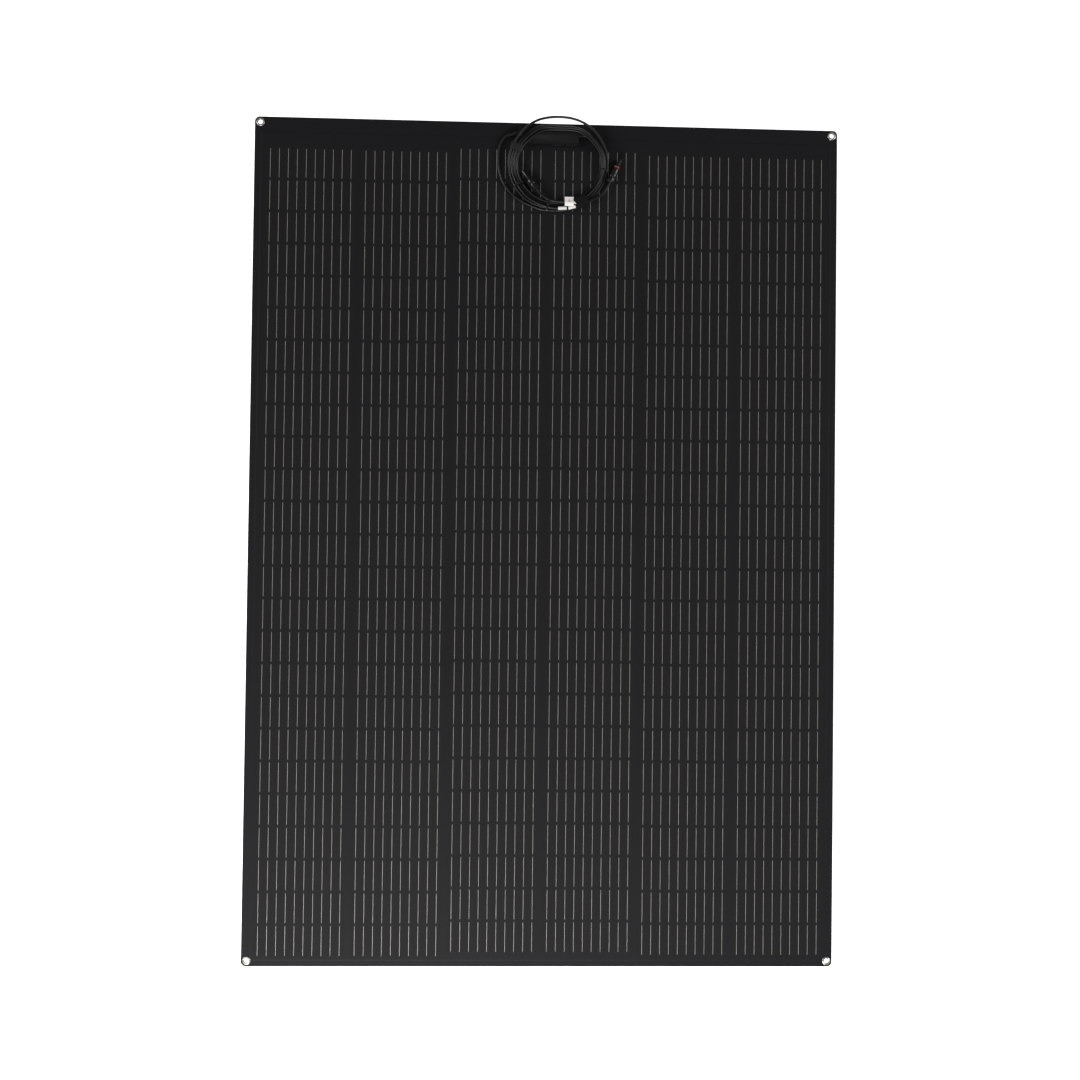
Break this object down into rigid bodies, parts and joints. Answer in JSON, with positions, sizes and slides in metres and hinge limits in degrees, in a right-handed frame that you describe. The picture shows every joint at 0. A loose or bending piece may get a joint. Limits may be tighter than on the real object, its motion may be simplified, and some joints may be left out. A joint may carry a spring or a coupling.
{
  "type": "flexible solar panel",
  "caption": "Thin bendable black solar sheet with rows of strip cells, corner eyelets, a low junction box and two coiled leads with connectors.",
  "frame": {"origin": "under the middle of the sheet, on the plane that its eyelet washers rest on", "axes": "+Z out of the front face; +Y towards the edge with the junction box; +X across the sheet, to the right as seen from the front"},
  "size_m": [1.198, 1.737, 0.03],
  "materials": {
    "clear_film": "clear fluoropolymer front film over black, fine dimpled matt emboss",
    "mask": "matt black polyester strip",
    "ribbon": "tinned copper ribbon, dull silver",
    "cell": "silicon cell with a black anti-reflection coat",
    "encapsulant": "cured encapsulant, clear, seen black",
    "board": "black glass-fibre board",
    "back_film": "matt black polyester back film",
    "eyelet": "bright nickel-plated steel",
    "adhesive": "black silicone bead",
    "box_plastic": "moulded black plastic, fine spark texture",
    "copper": "tinned copper blade",
    "diode": "moulded black epoxy",
    "potting": "black silicone potting",
    "cable_rubber": "soft black strain relief",
    "cable": "satin black cross-linked cable sheath",
    "tie": "black nylon",
    "wrap": "matt black tape and a grey tape",
    "label": null,
    "connector": "moulded black plastic",
    "seal": "orange-red silicone ring",
    "contact": "tin-plated brass"
  },
  "bodies": {
    "panel_1": {"front_film_1": "clear_film", "row_masks_1": "mask", "ribbons_1": "ribbon", "cells_1": "cell", "encapsulant_1": "encapsulant", "base_board_1": "board", "back_film_1": "back_film", "top_bus_bars": "ribbon", "eyelets_top": "eyelet", "box_adhesive": "adhesive", "junction_box_base": "box_plastic", "junction_box_lid": "box_plastic", "box_terminals": "copper", "bypass_diodes": "diode", "box_potting": "potting", "cable_boots": "cable_rubber", "lead_coil": "cable", "left_lead_tail": "cable", "right_lead_tail": "cable", "plug_lead_end": "cable", "socket_lead_end": "cable", "cable_ties": "tie", "coil_wraps": "wrap", "lead_labels": "label", "plug_body": "connector", "plug_seal": "seal", "socket_body": "connector", "contacts": "contact"},
    "panel_2": {"front_film_2": "clear_film", "row_masks_2": "mask", "ribbons_2": "ribbon", "cells_2": "cell", "encapsulant_2": "encapsulant", "base_board_2": "board", "back_film_2": "back_film"},
    "panel_3": {"front_film_3": "clear_film", "row_masks_3": "mask", "ribbons_3": "ribbon", "cells_3": "cell", "encapsulant_3": "encapsulant", "base_board_3": "board", "back_film_3": "back_film"},
    "panel_4": {"front_film_4": "clear_film", "row_masks_4": "mask", "ribbons_4": "ribbon", "cells_4": "cell", "encapsulant_4": "encapsulant", "base_board_4": "board", "back_film_4": "back_film"},
    "panel_5": {"front_film_5": "clear_film", "row_masks_5": "mask", "ribbons_5": "ribbon", "cells_5": "cell", "encapsulant_5": "encapsulant", "base_board_5": "board", "back_film_5": "back_film", "bottom_bus_bars": "ribbon", "eyelets_bottom": "eyelet"},
    "plug_nut_turn": {"plug_nut": "connector"},
    "socket_nut_turn": {"socket_nut": "connector"}
  },
  "joints": [
    {"name": "bend_2_3", "type": "hinge", "parent": "panel_3", "child": "panel_2", "pos_m": [0, 0.14595, 0.00178], "axis": [1, 0, 0], "range_deg": [-7.5, 7.5], "stiffness_Nm_per_rad": 26},
    {"name": "bend_1_2", "type": "hinge", "parent": "panel_2", "child": "panel_1", "pos_m": [0, 0.47395, 0.00178], "axis": [1, 0, 0], "range_deg": [-7.5, 7.5], "stiffness_Nm_per_rad": 26},
    {"name": "bend_3_4", "type": "hinge", "parent": "panel_3", "child": "panel_4", "pos_m": [0, -0.18205, 0.00178], "axis": [-1, 0, 0], "range_deg": [-7.5, 7.5], "stiffness_Nm_per_rad": 26},
    {"name": "bend_4_5", "type": "hinge", "parent": "panel_4", "child": "panel_5", "pos_m": [0, -0.51005, 0.00178], "axis": [-1, 0, 0], "range_deg": [-7.5, 7.5], "stiffness_Nm_per_rad": 26},
    {"name": "plug_nut_turns", "type": "hinge", "parent": "panel_1", "child": "plug_nut_turn", "pos_m": [0.1255, 0.738, 0.01145], "axis": [0.4244, 0.9055, 0], "range_deg": [0, 1080]},
    {"name": "socket_nut_turns", "type": "hinge", "parent": "panel_1", "child": "socket_nut_turn", "pos_m": [-0.0235, 0.722, 0.01145], "axis": [-0.6154, 0.7882, 0], "range_deg": [0, 1080]}
  ],
  "couplings": [
    {"joint": "bend_1_2", "follows": "bend_2_3", "ratio": 1},
    {"joint": "bend_3_4", "follows": "bend_2_3", "ratio": 1},
    {"joint": "bend_4_5", "follows": "bend_2_3", "ratio": 1}
  ]
}
